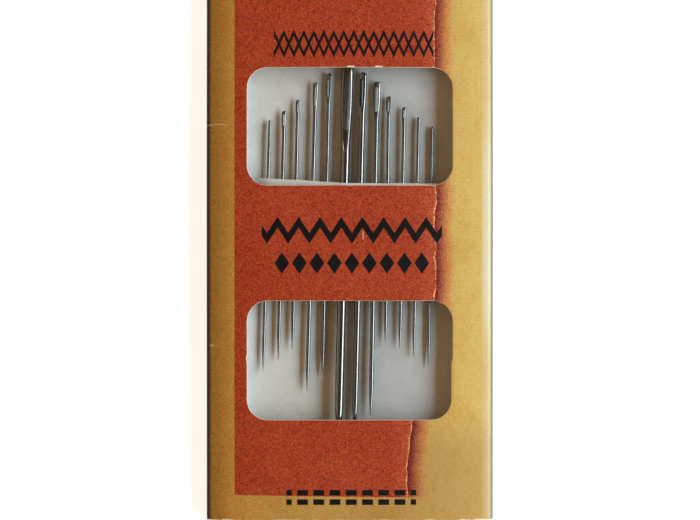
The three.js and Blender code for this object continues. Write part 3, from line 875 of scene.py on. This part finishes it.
archHalf = middleCount * needles["pitch"] + needles["pitch"] / 2
strapHalf = archHalf + strap["tab"]
strapTurn = Matrix.Rotation(math.radians(-strap["lean"]), 4, "Z")


def restAt(x):
    # Underside of the rear ply: glued down at both ends, waving from needle to needle between them
    stops = list(zip([-archHalf] + places + [archHalf], [strap["glue"]] + rests + [strap["glue"]]))
    height = strap["glue"]
    for (a, low), (b, high) in zip(stops, stops[1:]):
        if a <= x <= b:
            height = low + (high - low) * smoothStep(x, a, b)
    return height + insertRise(x)


def backTopAt(x):
    return restAt(x) + strap["ply"]


def dipRoom(i):
    # A needle that dips needs this much more room under and over it
    return abs(dips[i]) * strap["high"]


def needleHeight(i):
    return backTopAt(places[i]) + strap["under"] + dipRoom(i) + diameters[i] / 2


def tautLine(stops):
    # The upper hull of the stops, as a sheet that is drawn tight over them
    hull = []
    for x, z in stops:
        while len(hull) > 1:
            (x1, z1), (x2, z2) = hull[-2:]
            if (z2 - z1) * (x - x2) > (z - z2) * (x2 - x1):
                break
            hull.pop()
        hull.append((x, z))
    return hull


def heightOn(line, x):
    for (a, low), (b, high) in zip(line, line[1:]):
        if a <= x <= b:
            return low + (high - low) * (x - a) / (b - a)
    return line[-1][1]


def strapPath():
    # Underside of the front ply: nearly taut over the needles, and glued down at both ends
    end = strapHalf - strap["endTab"]
    stops = [(-end, backTopAt(-end) + strap["bond"])]
    for i, x in enumerate(places):
        stops.append((x, needleHeight(i) + diameters[i] / 2 + dipRoom(i) + strap["over"]))
    stops.append((end, backTopAt(end) + strap["bond"]))
    line = tautLine(stops)
    steps = strap["tautSteps"]
    path = [(x, backTopAt(x) + strap["bond"]) for x in spread([-strapHalf, -end], [strap["endStep"]])]
    for (a, low), (b, high) in zip(stops, stops[1:]):
        for k in range(1, steps + 1):
            share = k / steps
            x = a + (b - a) * share
            loose = low + (high - low) * smoothStep(share, 0, 1)
            path.append((x, loose + (heightOn(line, x) - loose) * strap["taut"]))
    last = spread([end, strapHalf], [strap["endStep"]])[1:]
    return path + [(x, backTopAt(x) + strap["bond"]) for x in last]


def trimAt(x):
    # The hand-trimmed upper edge
    share = x / (strapHalf + 1)
    for (a, high), (b, low) in zip(strap["edge"], strap["edge"][1:]):
        if share <= b:
            up = high + (low - high) * (share - a) / (b - a)
            break
    ragged = strap["ragged"] * noise.noise(Vector((x / strap["raggedSize"], 4.4, 0)))
    ragged += strap["fringe"] * noise.noise(Vector((x / strap["fringeSize"], 1.4, 0)))
    return strap["high"] + up * strap["wander"] + ragged


def paperPly(name, path, low, highAt, material, standsFor, ripple):
    rows = strap["rows"]
    swayX, swayY = strap["swaySize"]
    shape, spots = gridSheet(len(path), rows)
    for vert, (i, j) in spots.items():
        x, z = path[i]
        y = low + (highAt(x) - low) * j / (rows - 1)
        sway = ripple * noise.noise(Vector((x / swayX, y / swayY, 6.6)))
        # The path holds the card's rise at x, but once turned the strap lies over the rise at turnedX
        turnedX = (strapTurn @ Vector((x, y, 0))).x
        vert.co = Vector((x, y, z + insertTop + insertRise(turnedX) - insertRise(x) + sway * min(1, z)))
    bmesh.ops.transform(shape, matrix=strapTurn, verts=shape.verts)
    piece = makePiece(name, shape, [material], "card", [standsFor])
    addModifier(piece, "SOLIDIFY", thickness=strap["ply"] * mm, offset=1)
    addBevel(piece, strap["cutEdge"], strap["bevelAngle"], segments=1)


strapPaper = plainCard("strapPaper", strap["light"], strap["dark"], strap["rough"])
backingPaper = plainCard("backingPaper", strap["backLight"], strap["backDark"], strap["backRough"])
paperPly(
    "needleStrap", strapPath(), strap["low"], trimAt,
    strapPaper, "needle_strap", strap["sway"],
)
backPath = [(x, restAt(x)) for x in spread([-strapHalf, strapHalf], [strap["backStep"]])]
backLow = strap["low"] + strap["backTrim"]
backHigh = strap["high"] - strap["backTrim"]
paperPly(
    "strapBacking", backPath, backLow, lambda x: backHigh,
    backingPaper, "strap_backing", 0,
)
print("stage: strap")


# Needles

def needleSteel(name, bright, dull, roughness):
    # Drawn along the needle, with a faint haze and a few dark specks
    material, tree = makeMaterial(name)
    place = objectPlace(tree)
    drawn = cloud(tree, stretched(tree, place, (1, 0.02, 1)), 14, 3, 0.6)
    haze = cloud(tree, stretched(tree, place, (1, 0.25, 1)), 1.1, 4, 0.6)
    speck = ramp(tree, cloud(tree, place, 3.3, 5, 0.75), 0.68, 0.78)
    colour = blendColour(tree, ramp(tree, haze, 0.3, 0.7), bright, dull)
    colour = blendColour(tree, calc(tree, "MULTIPLY", speck, 0.5), colour, needles["speck"])
    rough = ramp(tree, haze, 0.3, 0.7, roughness, roughness + 0.07)
    rough = calc(tree, "ADD", rough, calc(tree, "MULTIPLY", drawn, 0.08))
    finishMaterial(tree, colour, rough, drawn, 0.015, 0.004, {"Metallic": 1.0})
    return material


# The point's outline: shares of the taper's length, and of the radius there
pointShape = [
    (0, 0), (0.006, 0.06), (0.02, 0.11), (0.06, 0.2), (0.12, 0.3), (0.22, 0.46),
    (0.35, 0.62), (0.5, 0.77), (0.65, 0.88), (0.82, 0.96), (1, 1),
]


def eyeSlot(eye, eyeWidth, middle, head):
    slot = bmesh.new()
    bmesh.ops.create_circle(slot, cap_ends=True, segments=needles["slotSides"], radius=eyeWidth / 2)
    for vert in slot.verts:
        vert.co.y += math.copysign((eye - eyeWidth) / 2, vert.co.y)
    grown = bmesh.ops.extrude_face_region(slot, geom=slot.faces)
    top = [item for item in grown["geom"] if isinstance(item, bmesh.types.BMVert)]
    bmesh.ops.translate(slot, vec=(0, 0, 4 * head), verts=top)
    bmesh.ops.translate(slot, vec=(0, middle, -2 * head), verts=slot.verts)
    bmesh.ops.recalc_face_normals(slot, faces=slot.faces)
    return slot


def eyeGutter(eye, middle, head, height, thick):
    gutter = bmesh.new()
    around, rings = needles["gutterSides"]
    bmesh.ops.create_uvsphere(gutter, u_segments=around, v_segments=rings, radius=1)
    half = eye / 2 + eye * needles["gutterRun"]
    size = (head * needles["gutterWidth"] / 2, half, thick * needles["gutter"])
    upright = Matrix.Rotation(quarter, 3, "X")
    bmesh.ops.rotate(gutter, cent=(0, 0, 0), matrix=upright, verts=gutter.verts)
    bmesh.ops.scale(gutter, vec=size, verts=gutter.verts)
    bmesh.ops.translate(gutter, vec=(0, middle, height), verts=gutter.verts)
    return gutter


def makeNeedle(i, row, material, punched):
    diameter, lengthShare, reachShare, headShare, eyeShare, turn, lean = row[:7]
    radius = diameter / 2
    length = lengthShare * needles["longest"]
    reach = reachShare * needles["longest"]
    head = headShare * 2 * radius
    eye = eyeShare * head
    tip = reach - length
    dome = head / 2
    eyeTop = reach - head * needles["eyeTop"]
    eyeBottom = eyeTop - eye
    neck = eyeBottom - eye * needles["gutterRun"]
    profile = [(out * radius, tip + along * needles["taper"]) for along, out in pointShape]
    profile += [(radius, y) for y in spread([tip + needles["taper"], neck], [needles["shankStep"]])[1:]]
    ringStep = max(eye / needles["eyeRings"], needles["ringStep"])
    profile += [(radius, y) for y in spread([neck, reach - dome], [ringStep])[1:]]
    for angle in needles["domeAngles"]:
        rise = math.radians(angle)
        profile.append((radius * math.cos(rise), reach - dome + dome * math.sin(rise)))
    profile.append((0, reach))
    shape = bmesh.new()
    verts = [shape.verts.new((out, y, 0)) for out, y in profile]
    edges = [shape.edges.new(pair) for pair in zip(verts, verts[1:])]
    bmesh.ops.spin(
        shape, geom=verts + edges, cent=(0, 0, 0), axis=(0, 1, 0),
        angle=2 * math.pi, steps=needles["sides"], use_merge=True,
    )
    bmesh.ops.remove_doubles(shape, verts=shape.verts, dist=needles["merge"])
    for vert in shape.verts:
        share = smoothStep(vert.co.y, neck, eyeBottom + eye / 2)
        vert.co.x *= 1 + share * (headShare - 1)
        vert.co.z *= 1 - share * (1 - needles["pressed"])
    bmesh.ops.recalc_face_normals(shape, faces=shape.faces)
    name = f"needle{i + 1:02d}"
    body = f"needle_{i + 1:02d}"
    piece = makePiece(name, shape, [material], body, [body])
    # The eye and the two gutters are cut by shapes that are then thrown away
    eyeWidth = head * needles["eyeWidth"]
    middle = (eyeTop + eyeBottom) / 2
    thick = radius * needles["pressed"]
    cutters = [(eyeSlot(eye, eyeWidth, middle, head), punched)]
    for side in (-1, 1):
        cutters.append((eyeGutter(eye, middle, head, side * thick, thick), material))
    for cutter, cutMaterial in cutters:
        mesh = bpy.data.meshes.new("cutter")
        cutter.to_mesh(mesh)
        mesh.transform(Matrix.Scale(mm, 4))
        mesh.materials.append(cutMaterial)
        tool = bpy.data.objects.new("cutter", mesh)
        bpy.context.scene.collection.objects.link(tool)
        addModifier(
            piece, "BOOLEAN", operation="DIFFERENCE", object=tool,
            solver="EXACT", material_mode="TRANSFER",
        )
        applyModifiers(piece)
        cutter.free()
        bpy.data.objects.remove(tool)
    turned = Matrix.Translation(Vector((places[i], 0, insertTop + needleHeight(i))) * mm)
    turned = strapTurn @ turned @ Matrix.Rotation(math.radians(-lean), 4, "Z")
    turned = turned @ Matrix.Rotation(-dips[i], 4, "X") @ Matrix.Rotation(math.radians(-turn), 4, "Y")
    piece.data.transform(turned)
    addBevel(piece, needles["lip"] * head, needles["bevelAngle"])


steel = needleSteel("needleSteel", needles["bright"], needles["dull"], needles["rough"])
punchedSteel = needleSteel(
    "punchedSteel", needles["punchedBright"], needles["punchedDull"], needles["punchedRough"],
)
for i, row in enumerate(needleRows):
    makeNeedle(i, row, steel, punchedSteel)
print("stage: needles")


# Glue films

glueFilm = {
    "inset": 0.12, "squeezed": 0.8, "acrossStep": 0.3, "alongStep": 1,
    "pale": (0.72, 0.66, 0.48), "deep": (0.62, 0.54, 0.36),
}


def driedGlue():
    material, tree = makeMaterial("driedGlue")
    place = objectPlace(tree)
    flow = cloud(tree, place, 0.6, 4, 0.6, 0.8)
    colour = blendColour(tree, ramp(tree, flow, 0.3, 0.7), glueFilm["pale"], glueFilm["deep"])
    finishMaterial(tree, colour, ramp(tree, flow, 0.3, 0.7, 0.35, 0.55), flow, 0.2, 0.02)
    return material


def makeGlueFilm(name, side, material, standsFor):
    inset = glueFilm["inset"]
    columns = spread([archHalf + inset, strapHalf - inset], [glueFilm["acrossStep"]])
    rows = spread([backLow + inset, backHigh - inset], [glueFilm["alongStep"]])
    shape, spots = gridSheet(len(columns), len(rows))
    for vert, (i, j) in spots.items():
        place = strapTurn @ Vector((columns[i] * side, rows[j], 0))
        vert.co = place + Vector((0, 0, insertTop + insertRise(place.x)))
    bmesh.ops.recalc_face_normals(shape, faces=shape.faces)
    piece = makePiece(name, shape, [material], "card", [standsFor])
    addModifier(piece, "SOLIDIFY", thickness=strap["glue"] * glueFilm["squeezed"] * mm, offset=1)


glue = driedGlue()
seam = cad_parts["sleeve_seam_glue"]
seam.data.materials.clear()
seam.data.materials.append(glue)
makeGlueFilm("glueFilmLeft", -1, glue, "strap_glue_left")
makeGlueFilm("glueFilmRight", 1, glue, "strap_glue_right")
print("stage: glue")
